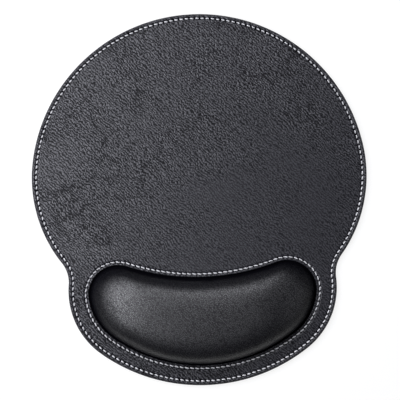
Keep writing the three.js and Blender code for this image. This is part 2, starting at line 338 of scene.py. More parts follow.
def arc_length(arc, inset):
    """The length of an arc that runs so far inside the outline."""
    return abs(arc.radius - inset) * math.radians(abs(arc.end - arc.start))


def half_length(arcs, inset):
    """The length of half an outline, so far inside it."""
    return sum(arc_length(arc, inset) for arc in arcs)


def point_along(arcs, inset, distance):
    """The point and the outward normal at a distance from the middle of the back."""
    half = half_length(arcs, inset)
    if distance > half:
        point, normal = point_along(arcs, inset, 2 * half - distance)
        return Vector((-point.x, point.y, 0)), Vector((-normal.x, normal.y, 0))
    for arc in arcs:
        length = arc_length(arc, inset)
        if distance <= length or arc is arcs[-1]:
            break
        distance -= length
    normal = direction(arc.start + (arc.end - arc.start) * clamped(distance / length))
    return arc.centre + normal * (arc.radius - inset), normal


def station(arcs, seam_inset, place):
    """A place on the outline, its outward normal, and how far along the seam it is."""
    spot = Vector((abs(place.x), place.y, 0))
    passed = 0
    found = []
    for arc in arcs:
        arm = (spot - arc.centre) * math.copysign(1, arc.radius)
        share = clamped((degrees_of(arm) - arc.start) / (arc.end - arc.start))
        normal = direction(arc.start + (arc.end - arc.start) * share)
        miss = (arc.centre + normal * arc.radius - spot).length
        found.append((miss, passed + share * arc_length(arc, seam_inset), normal))
        passed += arc_length(arc, seam_inset)
    _, along, normal = min(found, key=lambda item: item[0])
    if place.x < 0:
        return Station(place.copy(), Vector((-normal.x, normal.y, 0)), 2 * passed - along)
    return Station(place.copy(), normal, along)


print("half of the pad's outline in mm:", round(half_length(pad, 0) / MM, 1))
print("half of the cushion's seam in mm:", round(half_length(cushion, 0) / MM, 1))

# %% [markdown]
# ## Rows of a section
#
# A vertex is spun round the centre of each arc in turn, and the finished half is mirrored: that is the
# outline. Every shell of the pad is then extruded from it row by row. A row is a function that says
# where its vertices go, for instance so far in and so high, and each vertex carries the number of its
# station, so that it knows its way inwards. The ends of the section are filled. Boolean cuts would give
# much the same shells, but with thin stray faces, where rows stay even round every bend.

# %% Outline and rows
MERGE = 0.002 * MM
FEWEST_STEPS = 2


def draw_outline(arcs, step):
    """Spins a vertex round each arc and mirrors the half outline. Gives back a new mesh."""
    bm = bmesh.new()
    tip = bm.verts.new(arcs[0].centre + direction(arcs[0].start) * arcs[0].radius)
    for arc in arcs:
        spun = bmesh.ops.spin(
            bm,
            geom=[tip],
            cent=arc.centre,
            axis=(0, 0, 1),
            angle=math.radians(arc.end - arc.start),
            steps=max(round(arc_length(arc, 0) / step), FEWEST_STEPS),
        )
        tip = next(item for item in spun["geom_last"] if isinstance(item, bmesh.types.BMVert))
    half = bm.verts[:] + bm.edges[:]
    bmesh.ops.mirror(bm, geom=half, matrix=Matrix.Identity(4), merge_dist=MERGE, axis="X")
    mesh = bpy.data.meshes.new("outline")
    bm.to_mesh(mesh)
    bm.free()
    return mesh


def add_rows(bm, arcs, step, rows, seam_inset=0):
    """Adds an outline to a mesh and extrudes it row by row. Gives back each row's edges."""
    number = bm.verts.layers.int.get("station") or bm.verts.layers.int.new("station")
    outline = draw_outline(arcs, step)
    old_verts, old_edges = len(bm.verts), len(bm.edges)
    bm.from_mesh(outline)
    bpy.data.meshes.remove(outline)
    bm.verts.ensure_lookup_table()
    bm.edges.ensure_lookup_table()
    verts = bm.verts[old_verts:]
    loop = bm.edges[old_edges:]
    stations = [station(arcs, seam_inset, vert.co) for vert in verts]
    for i, vert in enumerate(verts):
        vert[number] = i
    loops = []
    for row in rows:
        if loops:
            made = bmesh.ops.extrude_edge_only(bm, edges=loop)["geom"]
            verts = [item for item in made if isinstance(item, bmesh.types.BMVert)]
            fresh = set(verts)
            edges = [item for item in made if isinstance(item, bmesh.types.BMEdge)]
            loop = [edge for edge in edges if fresh.issuperset(edge.verts)]
        for vert in verts:
            vert.co = row(stations[vert[number]])
        loops.append(loop)
    return loops


def inside_of(spot, inset, height):
    """The point so far in from a station on the outline, and so high."""
    return spot.place - spot.normal * inset + Vector((0, 0, height))


def level_row(inset, height):
    """A row that runs so far inside the outline, at one height."""

    def place(spot):
        return inside_of(spot, inset, height)

    return place


# %% Filling and finishing
SHARP_FROM = math.radians(50)


def verts_of(edges):
    """The vertices of some edges, each one once."""
    return list({vert for edge in edges for vert in edge.verts})


def fill(bm, *loops):
    """Fills the level space inside a loop, or between a loop and those inside it."""
    edges = [edge for loop in loops for edge in loop]
    bmesh.ops.triangle_fill(bm, use_beauty=True, edges=edges, normal=(0, 0, 1))


def finish_piece(bm, name, material):
    """Merges doubles, points the faces outwards, marks the sharp edges and makes a piece."""
    bmesh.ops.remove_doubles(bm, verts=bm.verts, dist=MERGE)
    bmesh.ops.recalc_face_normals(bm, faces=bm.faces)
    for face in bm.faces:
        face.smooth = True
    for edge in bm.edges:
        edge.smooth = edge.calc_face_angle(math.pi) < SHARP_FROM
    open_edges = sum(1 for edge in bm.edges if not edge.is_manifold)
    mesh = bpy.data.meshes.new(name)
    bm.to_mesh(mesh)
    bm.free()
    mesh.materials.append(material)
    piece = bpy.data.objects.new(name, mesh)
    bpy.context.scene.collection.objects.link(piece)
    print(f"{name}: {len(mesh.polygons)} faces, {open_edges} open edges")
    return piece


# %% [markdown]
# ## The grain of leather
#
# Both leathers are a polyurethane skin on cloth, pressed with a grain and dyed black. The grain is
# small cells with creases between them, crossed by short ridges that all run along one diagonal. A
# Voronoi texture's distance to its edges gives the cells. A Wave texture gives the ridges: its bands
# keep an even spacing and its distortion breaks them up, where a plain noise has no spacing at all.
# Both are moved to a mean of 0, so that the leather looks equally bright where the grain is weak. Real
# cells are half a millimetre wide or less, finer than a pixel of the render, so they are drawn as
# coarse as they need to be to show.

# %% Grain
GRAIN_TURN = math.radians(-45)
MIDDLE = 0.5
CELL_ROUNDING = 0.32
CELL_BEND_SIZE, CELL_BEND = 3, 0.8
BAND_UNIT = math.pi / 10


def object_in_mm(tree, turn=0.0, stretch=1.0):
    """Object coordinates in millimetres, turned and drawn out along the turned Y axis."""
    place = add(tree, "TexCoord", output="Object")
    in_mm = {"Vector": place, "Rotation": (0, 0, turn), "Scale": (1 / MM, 1 / MM, 1 / MM)}
    turned = add(tree, "Mapping", in_mm)
    return add(tree, "Mapping", {"Vector": turned, "Scale": (1, 1 / stretch, 1)})


def warped(tree, place, size, amount):
    """A place pushed about by a soft noise, so that no pattern runs dead straight."""
    push = add(tree, "TexNoise", {"Vector": place, "Scale": 1 / size}, output="Color")
    centred = add(tree, "VectorMath", [push, (MIDDLE, MIDDLE, MIDDLE)], operation="SUBTRACT")
    scaled = add(tree, "VectorMath", {"Vector": centred, "Scale": amount}, operation="SCALE")
    return add(tree, "VectorMath", [place, scaled], operation="ADD")


def cells(tree, grain):
    """Rounded cells with creases between them: 0 in a crease, 1 on top."""
    size = grain["cell"]
    drawn = object_in_mm(tree, GRAIN_TURN, grain["stretch"])
    bent = warped(tree, drawn, size * CELL_BEND_SIZE, size * CELL_BEND)
    pattern = {"Vector": bent, "Scale": 1 / size}
    from_crease = add(tree, "TexVoronoi", pattern, feature="DISTANCE_TO_EDGE")
    return add(tree, "MapRange", [from_crease, 0, CELL_ROUNDING], **SMOOTH)


def streaks(tree, grain):
    """Short ridges along the turned Y axis: 0 between them, 1 on top."""
    bands = BAND_UNIT / grain["streak"]
    pattern = {
        "Vector": warped(tree, object_in_mm(tree, GRAIN_TURN), grain["bend_size"], grain["bend"]),
        "Scale": bands,
        "Distortion": grain["wavering"],
        "Detail": 1,
        "Detail Scale": 1 / bands / grain["streak_length"],
    }
    return add(tree, "TexWave", pattern, output="Fac")


def grain_height(tree, grain):
    """Cells and streaks together, each moved to a mean of 0 and weighed by its share."""
    height = 0
    for field, share in (
        (cells(tree, grain), grain["cell_share"]),
        (streaks(tree, grain), grain["streak_share"]),
    ):
        centred = add(tree, "Math", [field, MIDDLE], operation="SUBTRACT")
        height = add(tree, "Math", [centred, share, height], operation="MULTIPLY_ADD")
    return height


# %% [markdown]
# ## Wear
#
# A grain is never even. It is weaker in soft patches, a few centimetres wide. On the mousing surface
# it is rubbed nearly flat on the right and in front, where the mouse and the hand run, and outside
# that area a few long soft creases cross the leather, as they do where a pad has been rolled. A
# distance to one point gives the rubbed area, and a second, wide Voronoi pattern the creases.

# %% Patches, rubbed area and long creases
PATCH_RANGE = 0.35, 0.65
LEAST_KEPT = 0.6
RUBBED_AT = (50.0, -35.0, 0.0)
RUBBED_RANGE = 35.0, 115.0
KEPT_WHERE_RUBBED = 0.42
CREASE_GAP = 30.0
CREASE_BEND_SIZE, CREASE_BEND = 0.5, 0.6
CREASE_WIDTH = 0.04
CREASE_DEPTH = 0.22


def worn(tree, plain, patchy, height):
    """Weakens the grain round the rubbed place and cuts long creases outside it."""
    distance = add(tree, "VectorMath", [plain, RUBBED_AT], output="Value", operation="DISTANCE")
    kept = add(tree, "MapRange", [distance, *RUBBED_RANGE, KEPT_WHERE_RUBBED, 1], **SMOOTH)
    rubbed = add(tree, "Math", [height, kept], operation="MULTIPLY")
    bent = warped(tree, plain, CREASE_GAP * CREASE_BEND_SIZE, CREASE_GAP * CREASE_BEND)
    pattern = {"Vector": bent, "Scale": 1 / CREASE_GAP}
    from_crease = add(tree, "TexVoronoi", pattern, feature="DISTANCE_TO_EDGE")
    crease = add(tree, "MapRange", [from_crease, 0, CREASE_WIDTH, CREASE_DEPTH, 0], **SMOOTH)
    in_patch = add(tree, "MapRange", [patchy, *PATCH_RANGE], **SMOOTH)
    outside = add(tree, "MapRange", [distance, *RUBBED_RANGE], **SMOOTH)
    shown = add(tree, "Math", [in_patch, outside], operation="MULTIPLY")
    depth = add(tree, "Math", [crease, shown], operation="MULTIPLY")
    return add(tree, "Math", [rubbed, depth], operation="SUBTRACT")


# %% [markdown]
# ## The two leathers
#
# The height of the grain goes into a bump, and its creases are darker and duller than the worn tops
# of the cells. On the pad, shade is painted into the leather: it goes black towards the floor of a
# needle hole. The cushion's skin is stretched over foam, so its grain is finer and nearly flat. Shade
# is painted black into the crevice round its foot, and more painted shade turns down the gloss low on
# its walls; its top, which the hand rubs to a shine, keeps the most gloss.


# %% Leather materials
def leather(name, grain, look, wear=None):
    """A black leather from the sizes of its grain and from its colours, gloss and heights.

    Sizes are in millimetres. So are the heights of the painted shade, counted from the look's level.
    """
    material, tree = new_material(name)
    plain = object_in_mm(tree)
    patches = {"Vector": plain, "Scale": 1 / grain["patch"], "Detail": 1}
    patchy = add(tree, "TexNoise", patches)
    kept = add(tree, "MapRange", [patchy, *PATCH_RANGE, LEAST_KEPT, 1], **SMOOTH)
    height = add(tree, "Math", [grain_height(tree, grain), kept], operation="MULTIPLY")
    if wear:
        height = wear(tree, plain, patchy, height)
    up = add(tree, "SeparateXYZ", [plain], output="Z")
    above = add(tree, "Math", [up, look["level"] / MM], operation="SUBTRACT")
    # Painted shade: below these heights, towards the floor of a hole or crevice, colour and gloss go
    # black.
    lit = add(tree, "MapRange", [above, *look["lit"]], **SMOOTH)
    painted_shade_and_polish = lit
    # Painted shade on the cushion's walls: their gloss is turned down low on them, and stays full on
    # the top that the hand rubs.
    if "painted_wall_shade_and_polish" in look:
        rubbed = add(tree, "MapRange", [above, *look["painted_wall_shade_and_polish"], look["dullest"], 1], **SMOOTH)
        painted_shade_and_polish = add(tree, "Math", [rubbed, lit], operation="MULTIPLY")
    top = add(tree, "MapRange", [height, *look["range"]], **SMOOTH)
    raised = add(tree, "Math", [top, lit], operation="MULTIPLY")
    gloss = add(tree, "MapRange", [raised, 0, 1, *look["gloss"]], **SMOOTH)
    tones = {"Factor": raised, "A": linear(look["crease"]), "B": linear(look["top"])}
    finish = {
        "Base Color": add(tree, "Mix", tones, output="Result", data_type="RGBA"),
        "Roughness": add(tree, "MapRange", [raised, 0, 1, *look["roughness"]], **SMOOTH),
        "IOR": look["ior"],
        "Specular IOR Level": add(tree, "Math", [gloss, painted_shade_and_polish], operation="MULTIPLY"),
        "Normal": add(tree, "Bump", {"Height": height, "Distance": grain["depth"] * MM}),
    }
    add(tree, "OutputMaterial", {"Surface": add(tree, "BsdfPrincipled", finish)})
    return material


pad_leather = leather(
    "embossed_polyurethane_leather",
    grain={
        "cell": 1.3,
        "stretch": 1.6,
        "patch": 34.0,
        "streak": 1.7,
        "streak_length": 2.1,
        "bend": 7.0,
        "bend_size": 17.0,
        "wavering": 6.0,
        "cell_share": 0.4,
        "streak_share": 0.6,
        "depth": 0.2,
    },
    look={
        "crease": "0b0b0f",
        "top": "2e2e36",
        "range": (-0.33, 0.33),
        "roughness": (0.48, 0.41),
        "gloss": (0.2, 1.06),
        "ior": 1.5,
        "level": leather_top,
        # Heights of the painted shade that blackens the needle holes.
        "lit": (-0.95, -0.55),
    },
    wear=worn,
)
cushion_leather = leather(
    "stretched_polyurethane_leather",
    grain={
        "cell": 0.9,
        "stretch": 1.2,
        "patch": 40.0,
        "streak": 1.6,
        "streak_length": 1.6,
        "bend": 7.0,
        "bend_size": 20.0,
        "wavering": 6.0,
        "cell_share": 0.75,
        "streak_share": 0.3,
        "depth": 0.075,
    },
    look={
        "crease": "08080c",
        "top": "121218",
        "range": (-0.4, 0.4),
        "roughness": (0.45, 0.39),
        "gloss": (0.4, 1.3),
        "ior": 1.55,
        "level": foam_top,
        # Heights of the painted shade that blackens the crevice round the foot.
        "lit": (-0.5, 2.5),
        # Heights over which the painted shade turns the walls' gloss down.
        "painted_wall_shade_and_polish": (5.0, 16.0),
        "dullest": 0.12,
    },
)
print("leathers:", pad_leather.name, "and", cushion_leather.name)

# %% [markdown]
# ## Thread, paint, rubber and foam
#
# The other five are matt and nearly even in colour, so one function makes them: a fine texture mixes
# two close colours and gives the bump. Its features have the real size in millimetres, but fibres and
# pores, which are finer than a pixel, are drawn as coarse as they need to be to show. The two foams
# only show when the pad is taken apart.

# %% Simple materials
TINT_RANGE = 0.3, 0.7


def matt(name, colours, feature, depth, roughness, kind="TexNoise"):
    """A matt material whose two colours and whose bump follow one texture, in millimetres."""
    material, tree = new_material(name)
    field = add(tree, kind, {"Vector": object_in_mm(tree), "Scale": 1 / feature})
    between = add(tree, "MapRange", [field, *TINT_RANGE], **SMOOTH)
    tones = {"Factor": between, "A": linear(colours[0]), "B": linear(colours[1])}
    finish = {
        "Base Color": add(tree, "Mix", tones, output="Result", data_type="RGBA"),
        "Roughness": roughness,
        "Normal": add(tree, "Bump", {"Height": field, "Distance": depth * MM}),
    }
    add(tree, "OutputMaterial", {"Surface": add(tree, "BsdfPrincipled", finish)})
    return material


# Twisted polyester is almost white, and its fibres catch the light one by one.
polyester_thread = matt(
    "twisted_polyester_thread", ("e0e0e3", "f4f4f6"), feature=0.25, depth=0.05, roughness=0.75
)
# Acrylic edge paint is rolled on in coats and dries to a dark satin skin with a slight wave.
acrylic_paint = matt(
    "acrylic_edge_paint", ("1e1b29", "292636"), feature=1.2, depth=0.05, roughness=0.7
)
# Synthetic rubber is moulded against a patterned roller: fine raised dots keep it from sliding.
moulded_rubber = matt(
    "moulded_rubber", ("141415", "1d1d1f"), feature=0.9, depth=0.15, roughness=0.8, kind="TexVoronoi"
)
# Closed-cell foam is sliced from a block and looks like fine black felt.
sheet_foam = matt(
    "closed_cell_foam", ("1e1e20", "2c2c2f"), feature=0.4, depth=0.1, roughness=0.95
)
# Memory foam is cut to shape: cream, dull, with open pores.
memory_foam = matt(
    "memory_foam", ("c9bd93", "e2d8b4"), feature=0.6, depth=0.2, roughness=0.95, kind="TexVoronoi"
)
print("materials so far:", len(bpy.data.materials))

# %% [markdown]
# ## The rubber base
#
# The base is cut from flat sheet, so its walls are straight, and its lower edge is eased. The lower
# thread of the edge seam lies in a groove, so that the pad stands on rubber and not on thread. The
# section runs from the upper rim down the wall, under the edge and through the groove, and both its
# ends are filled. So one outline gives wall, edge and groove, and nothing has to be cut out.

# %% Base sheet
EDGE_STEP = 0.35 * MM
HIDDEN_STEP = 3 * EDGE_STEP
PAINT = 0.5 * MM
EDGE_SEAM = 3 * MM
GROOVE_HALF = 0.55 * MM
GROOVE_FLOOR_SHARE = 0.7
LOWER_GROOVE_DEPTH = 0.6 * MM
EASING = 0.25 * MM
EASED_SHARE = 0.3


def base_sheet():
    """The rubber sheet with its eased edge and the groove for the lower thread."""
    bm = bmesh.new()
    eased_in = EASING * EASED_SHARE
    floor_half = GROOVE_HALF * GROOVE_FLOOR_SHARE
    section = [
        (PAINT, base_top),
        (PAINT, EASING),
        (PAINT + eased_in, eased_in),
        (PAINT + EASING, 0),
        (EDGE_SEAM - GROOVE_HALF, 0),
        (EDGE_SEAM - floor_half, LOWER_GROOVE_DEPTH),
        (EDGE_SEAM + floor_half, LOWER_GROOVE_DEPTH),
        (EDGE_SEAM + GROOVE_HALF, 0),
    ]
    rows = [level_row(inset, height) for inset, height in section]
    loops = add_rows(bm, pad, HIDDEN_STEP, rows)
    fill(bm, loops[0])
    fill(bm, loops[-1])
    return finish_piece(bm, "rubber_base_sheet", moulded_rubber)


rubber_base = base_sheet()

# %% [markdown]
# ## The foam sheet
#
# The foam sheet lies between base and leather. A channel for the cushion's flange is pressed into it,
# and the cushion's core stands on the island inside the channel. It hardly shows, so it has only the
# shapes that its neighbours need.

# %% Foot of the cushion, and the foam sheet
FOOT_INSET = 3 * MM
FLANGE = 3 * MM
CLEARANCE = 0.3 * MM
COVER_THICKNESS = 0.8 * MM
CORE_INSET = FOOT_INSET + COVER_THICKNESS + CLEARANCE
BACK_FOOT, SIDE_FOOT, FRONT_FOOT = 1.0 * MM, 0.7 * MM, 0.3 * MM
CUSHION_STEP = 1.5 * MM

channel_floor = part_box("cushion_cover")[0].z


def foot_width(normal):
    """How wide the foot is: most at the back, less at the sides, least in front."""
    target = BACK_FOOT if normal.y > 0 else FRONT_FOOT
    return SIDE_FOOT + (target - SIDE_FOOT) * normal.y**2


def foot_row(inset, height, share=1.0):
    """A row at a share of the way across the foot."""

    def place(spot):
        return inside_of(spot, inset + foot_width(spot.normal) * share, height)

    return place


def foam_sheet():
    """The foam with its ring-shaped channel and the island inside it."""
    bm = bmesh.new()
    walls = add_rows(bm, pad, HIDDEN_STEP, [level_row(PAINT, base_top), level_row(PAINT, foam_top)])
    channel_edge = -(FLANGE + CLEARANCE)
    channel = add_rows(
        bm,
        cushion,
        CUSHION_STEP,
        [
            level_row(channel_edge, foam_top),
            level_row(channel_edge, channel_floor),
            foot_row(CORE_INSET, channel_floor),
            foot_row(CORE_INSET, foam_top),
        ],
    )
    fill(bm, walls[0])
    fill(bm, walls[1], channel[0])
    fill(bm, channel[-1])
    return finish_piece(bm, "pad_foam_sheet", sheet_foam)


pad_foam = foam_sheet()

# %% [markdown]
# ## The stitches
#
# A lockstitch is as long as the machine's feed, 3.5 mm here, and a seam holds a whole number of them.
# The leather skin and the threads both ask where in its stitch a place lies, so that every thread
# dives exactly where the leather has its hole.

# %% Stitches
STITCH = 3.5 * MM
CUSHION_SEAM = 0.0


def stitch_count(arcs, inset):
    """How many stitches go round a seam."""
    return round(2 * half_length(arcs, inset) / STITCH)


def stitch_phase(arcs, inset, along):
    """Where in its stitch a place lies: 0 and 1 at the needle holes, 0.5 in the middle."""
    return along / (2 * half_length(arcs, inset)) * stitch_count(arcs, inset) % 1


print("stitches:", stitch_count(pad, EDGE_SEAM), "and", stitch_count(cushion, CUSHION_SEAM))

# %% [markdown]
# ## The leather skin
#
# The skin is the piece that everyone touches and sees. It is modelled as loops that run parallel to
# the two seams, close together where the leather bends. Then a formula of two distances moves each
# vertex down: how far in from the edge, and how far along the seam. The edge rolls over to the cut.
# The tight thread presses a soft groove, and at each needle hole a pit. Between the holes the leather
# swells a little. A texture could fake that, but real dips catch the light right from all sides.

# %% Leather skin
EDGE_ROLL = 0.9 * MM
OPENING_INSET = 2.2 * MM
LIP_ROLL = 0.45 * MM
GROOVE_WIDTH = 0.75 * MM
GROOVE_DEPTH = 0.5 * MM
HOLE_WIDTH = 0.85 * MM
HOLE_DEPTH = 0.75 * MM
SWELL = 0.08 * MM
SWELL_ASIDE = 1.9 * GROOVE_WIDTH
RING_GAP = 0.25 * MM
EDGE_ZONE = 5 * MM
CUSHION_ZONE = -3 * MM


def groove(arcs, inset, along, aside):
    """How deep the thread has pressed the leather at a distance along and aside of the seam."""
    phase = stitch_phase(arcs, inset, along)
    from_hole = min(phase, 1 - phase) * STITCH
    trough = GROOVE_DEPTH * math.exp(-((aside / GROOVE_WIDTH) ** 2))
    pit = HOLE_DEPTH * math.exp(-((aside / HOLE_WIDTH) ** 2) - (from_hole / HOLE_WIDTH) ** 2)
    swell = SWELL * math.exp(-(((abs(aside) - SWELL_ASIDE) / GROOVE_WIDTH) ** 2))
    return trough + pit - swell * math.sin(math.pi * phase) ** 2


def rolled(distance, radius):
    """How far a rounded edge has dropped at a distance inside its rim."""
    gone = 1 - clamped(distance / radius)
    return radius * (1 - math.sqrt(1 - gone**2))


def insets_between(first, last, gap):
    """Evenly spaced insets from the first to the last, at most a gap apart."""
    count = math.ceil((last - first) / gap)
    return [first + (last - first) * i / count for i in range(count + 1)]


def skin_row(inset, arcs, seam_inset, rolled_off):
    """A row on top of the skin, pressed down by the seam and rolled off towards a cut edge."""

    def place(spot):
        pressed = groove(arcs, seam_inset, spot.along, inset - seam_inset)
        return inside_of(spot, inset, leather_top - rolled_off - pressed)

    return place


def leather_skin():
    """The skin from its rolled edge to the lip of the opening for the cushion."""
    bm = bmesh.new()
    outside = [level_row(PAINT, foam_top)]
    for inset in insets_between(PAINT, EDGE_ZONE, RING_GAP):
        outside.append(skin_row(inset, pad, EDGE_SEAM, rolled(inset - PAINT, EDGE_ROLL)))
    inside = []
    for inset in insets_between(CUSHION_ZONE, OPENING_INSET, RING_GAP):
        drop = rolled(OPENING_INSET - inset, LIP_ROLL)
        inside.append(skin_row(inset, cushion, CUSHION_SEAM, drop))
    inside.append(level_row(OPENING_INSET, foam_top))
    outer_loops = add_rows(bm, pad, EDGE_STEP, outside, EDGE_SEAM)
    inner_loops = add_rows(bm, cushion, EDGE_STEP, inside, CUSHION_SEAM)
    fill(bm, outer_loops[-1], inner_loops[0])
    fill(bm, outer_loops[0], inner_loops[-1])
    return finish_piece(bm, "pad_leather_skin", pad_leather)


skin = leather_skin()

# %% [markdown]
# ## The painted edge
#
# Edge paint is laid on with a roller in several coats. It stands proud as a low bead, never quite
# even. A half-round section is extruded round the outline and closed on itself, and a fixed noise
# moves it in by a few hundredths of a millimetre.

# %% Edge paint
PAINT_STEP = 2 * EDGE_STEP
PAINT_RINGS = 8
PAINT_WAVE = 0.04 * MM
WAVE_LENGTH = 6 * MM
WAVE_CENTRE = 0.5


def paint_row(inset, height, unevenness):
    """A row of the bead that a noise moves a little, mostly inwards."""

    def place(spot):
        wave = (noise.noise(spot.place / WAVE_LENGTH) - WAVE_CENTRE) * unevenness
        return inside_of(spot, inset - wave, height)

    return place


def edge_paint():
    """The bead of paint round the cut edge, as a closed ring."""
    bm = bmesh.new()
    middle, half = (paint_low + paint_high) / 2, (paint_high - paint_low) / 2
    rows = []
    for i in range(PAINT_RINGS + 1):
        turn = math.pi * i / PAINT_RINGS
        bulge = math.sqrt(math.sin(turn))
        height = middle - half * math.cos(turn)
        rows.append(paint_row(PAINT * (1 - bulge), height, PAINT_WAVE * bulge))
    add_rows(bm, pad, PAINT_STEP, [*rows, rows[0]])
    return finish_piece(bm, "cut_edge_paint", acrylic_paint)


paint_bead = edge_paint()

# %% [markdown]
# ## The dome of the cushion
#
# The cushion is a dome over a kidney-shaped plan. Its wall rises steeply from the seam and rounds
# over to a level middle line, the spine, which follows the hollow back. So each row of the dome is
# the seam's outline, moved a share of the way to the spine and lifted by a power curve. The curve is
# squarest at the back, where the photograph shows a sharp shoulder, and softest at the two ends.

# %% Dome
SPINE_HALF = 34 * MM
SPINE_RADIUS = CUSHION_BACK_RADIUS + CUSHION_BREADTH / 2
BACK_SQUARENESS, FRONT_SQUARENESS, END_SQUARENESS = 5, 3.5, 2.6
SOFTER_FROM, SOFTEST_FROM = 20 * MM, 75 * MM
BACK_LEAN, FRONT_LEAN = 0.55, 0.32
SIDE_DROP = 0.08
DOME_RINGS = 18
LAST_SHARE = 0.97

cushion_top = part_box("cushion_cover")[1].z
half_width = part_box("cushion_cover")[1].x - FLANGE


def spine_point(place):
    """The point that a place climbs to, on an arc round the hollow back's centre."""
    centre = cushion[0].centre
    reach = place - centre
    limit = math.asin(SPINE_HALF / SPINE_RADIUS)
    angle = limit * math.tanh(math.atan2(reach.x, -reach.y) / limit)
    return centre + Vector((math.sin(angle), -math.cos(angle), 0)) * SPINE_RADIUS


def blend(start, end, share):
    """A value at a share of the way from one to another."""
    return start + (end - start) * share


def eased(share):
    """Runs smoothly from 0 to 1, and stays there."""
    held = clamped(share)
    return held**2 * (3 - 2 * held)


def rise_at(share, foot, normal):
    """The share of its height that the wall has reached at a share of the way to the spine."""
    frontness = min(normal.y, 0) ** 2
    softness = eased((abs(foot.x) - SOFTER_FROM) / (SOFTEST_FROM - SOFTER_FROM))
    middle = blend(BACK_SQUARENESS, FRONT_SQUARENESS, frontness)
    squareness = blend(middle, END_SQUARENESS, softness)
    return (1 - (1 - share) ** squareness) ** blend(BACK_LEAN, FRONT_LEAN, frontness)


def dome_row(inset, bottom, top, share):
    """A row of the dome at a share of the way from the foot of its wall to the spine."""

    def place(spot):
        foot = foot_row(inset, 0)(spot)
        point = foot.lerp(spine_point(foot), share)
        rise = rise_at(share, foot, spot.normal)
        drop = (top - foam_top) * SIDE_DROP * (point.x / half_width) ** 2
        return Vector((point.x, point.y, bottom + (top - drop - bottom) * rise))

    return place


def dome_shares():
    """Shares of the way to the spine, close together at the foot, where the wall is steep."""
    return [(i / DOME_RINGS) ** 2 * LAST_SHARE for i in range(DOME_RINGS + 1)]


print("top of the cushion in mm:", round(cushion_top / MM, 2))

# %% [markdown]
# ## The cushion's cover
#
# The cover is one piece of leather: a flange that is sewn under the skin, a narrow foot that dips and
# turns up, and the dome over the foam. It is modelled as an open sheet, a little lower than the real
# one, because the swelling that follows lifts it. The rows at the top of the dome crowd together, so
# their closest vertices are merged.

# %% Sheet of the cover
SUNK = 0.02 * MM
FOOT_DIP = 0.3 * MM
FOOT_RISE = 0.1 * MM
FOOT_TURN = math.radians(90)
FOOT_RINGS = 8
FOOT_REACH = 0.95
HELD_WALL_RINGS = 2
SMALLEST_EDGE = 0.5 * MM
SWELL_CAP = 0.6 * MM


def cushion_cover():
    """The cover as a sheet, and the numbers of the vertices that the seam holds down."""
    bm = bmesh.new()
    rows = [level_row(-FLANGE, foam_top - SUNK), level_row(OPENING_INSET, foam_top - SUNK)]
    for i in range(FOOT_RINGS + 1):
        share = i / FOOT_RINGS
        climbed = math.sin(share * FOOT_TURN)
        height = foam_top - FOOT_DIP + (FOOT_DIP + FOOT_RISE) * climbed
        rows.append(foot_row(FOOT_INSET, height, share * FOOT_REACH))
    held = len(rows) + HELD_WALL_RINGS
    for share in dome_shares():
        rows.append(dome_row(FOOT_INSET, height, cushion_top - SWELL_CAP, share))
    loops = add_rows(bm, cushion, CUSHION_STEP, rows)
    fill(bm, loops[-1])
    held_places = {tuple(vert.co) for loop in loops[:held] for vert in verts_of(loop)}
    bmesh.ops.remove_doubles(bm, verts=verts_of(loops[-1] + loops[-2]), dist=SMALLEST_EDGE)
    piece = finish_piece(bm, "cushion_leather_cover", cushion_leather)
    pinned = [vert.index for vert in piece.data.vertices if tuple(vert.co) in held_places]
    return piece, pinned


cover, pinned = cushion_cover()
print("vertices held down by the seam:", len(pinned), "of", len(cover.data.vertices))

# %% [markdown]
# ## Swelling
#
# The foam presses the real cover out until the leather is tight. The cloth solver does the same: it
# blows the sheet up with a little pressure and no gravity, with the flange and the foot pinned. How
# far a point may move is capped, and the result goes into the mesh, so that no solver is left on the
# piece. Only after that does the sheet get its thickness and its smooth surface.

# %% Swelling by the cloth solver
SWELL_FRAMES = 20
STIFF_LEATHER = {
    "quality": 8,
    "mass": 0.3,
    "tension_stiffness": 25,
    "compression_stiffness": 25,
    "shear_stiffness": 15,
    "bending_stiffness": 8,
    "use_pressure": True,
    "uniform_pressure_force": 4.0,
}


def swell(piece, pinned):
    """Blows a piece up with its pinned vertices held, and caps how far a point moves."""
    start = [vert.co.copy() for vert in piece.data.vertices]
    group = piece.vertex_groups.new(name="sewn_down")
    group.add(pinned, 1.0, "REPLACE")
    cloth = piece.modifiers.new("swell", "CLOTH")
    for name, value in STIFF_LEATHER.items():
        setattr(cloth.settings, name, value)
    cloth.settings.vertex_group_mass = group.name
    cloth.settings.effector_weights.gravity = 0
    scene = bpy.context.scene
    for number in range(1, SWELL_FRAMES + 1):
        scene.frame_set(number)
    swollen = piece.evaluated_get(bpy.context.evaluated_depsgraph_get()).to_mesh()
    moved = [vert.co.copy() for vert in swollen.vertices]
    piece.modifiers.remove(cloth)
    scene.frame_set(1)
    furthest = 0
    for vert, before, after in zip(piece.data.vertices, start, moved):
        step = after - before
        furthest = max(furthest, step.length)
        if step.length > SWELL_CAP:
            step *= SWELL_CAP / step.length
        vert.co = before + step
    piece.vertex_groups.clear()
    print(f"{piece.name}: swollen by up to {furthest / MM:.2f} mm, capped at {SWELL_CAP / MM:.2f}")


swell(cover, pinned)

# %% Thickness of the cover
thicken = cover.modifiers.new("thickness", "SOLIDIFY")
thicken.thickness = COVER_THICKNESS
thicken.offset = -1
smooth = cover.modifiers.new("smooth", "SUBSURF")
smooth.levels = 1
smooth.render_levels = 1
print("modifiers left on the cover:", [modifier.type for modifier in cover.modifiers])

# %% [markdown]
# ## The cushion's core
#
# The core is memory foam cut to the same dome, so the same rows make it, further in and lower by the
# cover's thickness and a small clearance. It stands on the island of the foam sheet.


